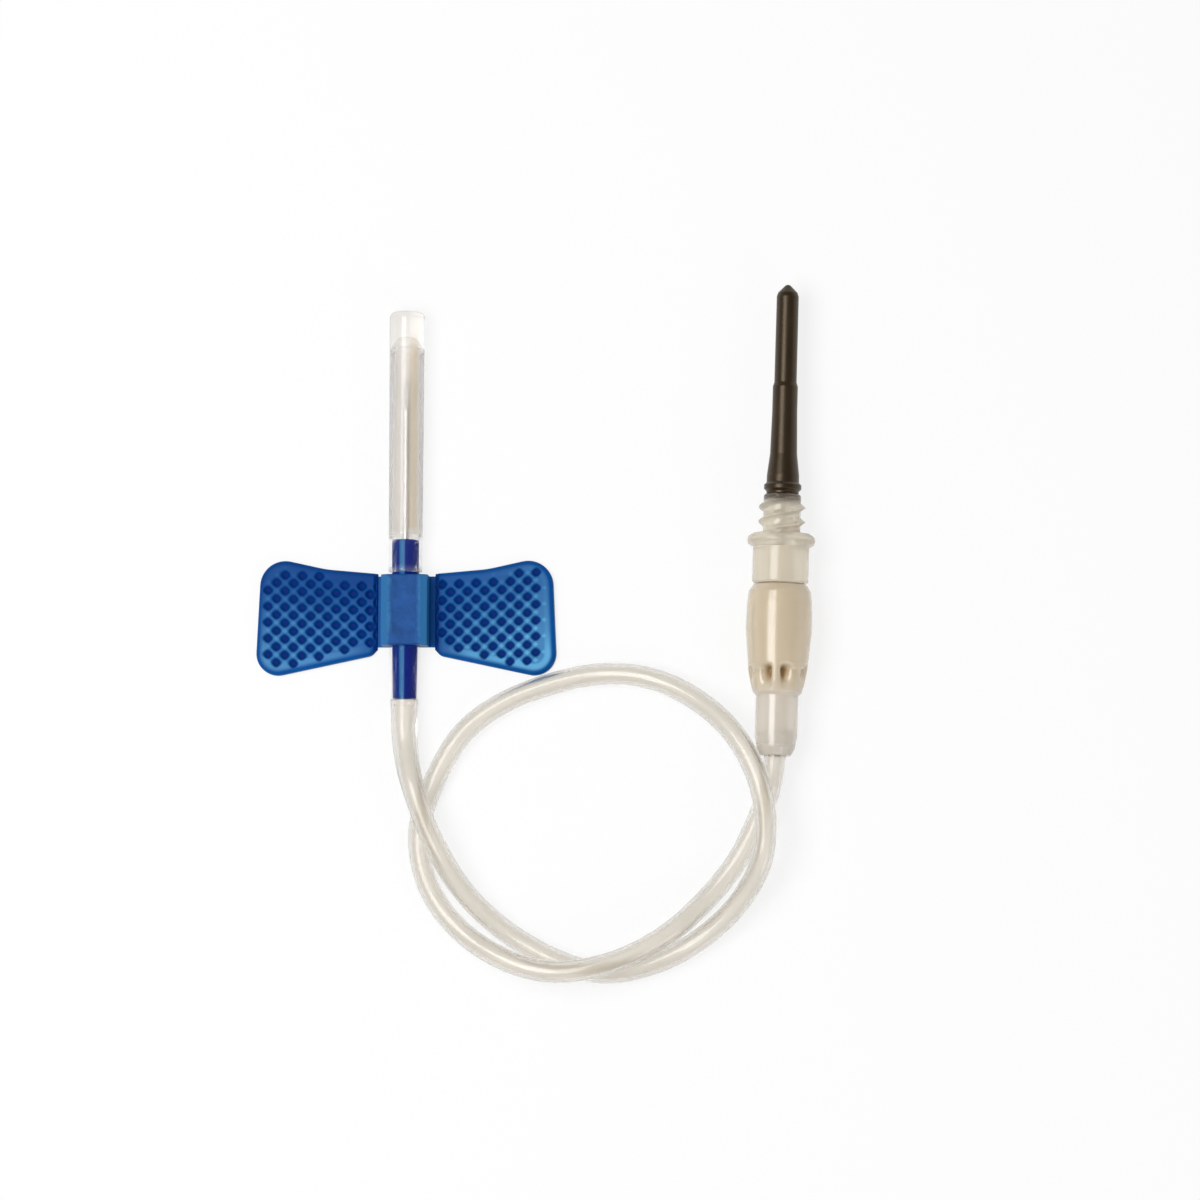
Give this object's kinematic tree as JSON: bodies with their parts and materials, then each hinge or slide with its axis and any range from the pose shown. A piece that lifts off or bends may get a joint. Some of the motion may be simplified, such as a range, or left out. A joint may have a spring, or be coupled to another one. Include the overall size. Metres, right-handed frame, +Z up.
{
  "type": "butterfly needle",
  "caption": "Winged blood-collection set: sheathed needle with latticed folding wings, looped clear tubing, female luer and a threaded holder adapter with a rubber-sleeved rear needle",
  "frame": {"origin": "centre of the wing saddle's flat underside, straight below the vein needle's axis", "axes": "+Y along the vein needle towards its tip, +X across towards the luer connector, +Z up from the surface the set lies on"},
  "size_m": [0.0665, 0.0826, 0.0081],
  "materials": {
    "needle_steel": "satin drawn tube",
    "sheath_plastic": "clear, smooth",
    "hub_plastic": "translucent, smooth",
    "wing_vinyl": "soft, satin",
    "tube_vinyl": "clear, soft, smooth",
    "luer_plastic": "clear, smooth",
    "adapter_plastic": "milky clear, smooth",
    "sleeve_rubber": "smooth, satin"
  },
  "bodies": {
    "hub": {"needle_cannula": "needle_steel", "wing_hub": "hub_plastic", "wing_saddle": "wing_vinyl", "tubing": "tube_vinyl", "female_luer": "luer_plastic"},
    "left_wing": {"left_wing": "wing_vinyl"},
    "right_wing": {"right_wing": "wing_vinyl"},
    "sheath": {"needle_sheath": "sheath_plastic"},
    "adapter": {"luer_adapter": "adapter_plastic", "holder_cannula": "needle_steel", "rubber_sleeve": "sleeve_rubber"}
  },
  "joints": [
    {"name": "left_wing_fold", "type": "hinge", "parent": "hub", "child": "left_wing", "pos_m": [-0.00345, 0, 0.00045], "axis": [0, 1, 0], "range_deg": [0, 80]},
    {"name": "right_wing_fold", "type": "hinge", "parent": "hub", "child": "right_wing", "pos_m": [0.00345, 0, 0.00045], "axis": [0, -1, 0], "range_deg": [0, 80]},
    {"name": "sheath_pull", "type": "slide", "parent": "hub", "child": "sheath", "axis": [0, 1, 0], "range_m": [0, 0.032]},
    {"name": "adapter_pull", "type": "slide", "parent": "hub", "child": "adapter", "axis": [0.0218, 0.9998, 0], "range_m": [0, 0.012]}
  ]
}
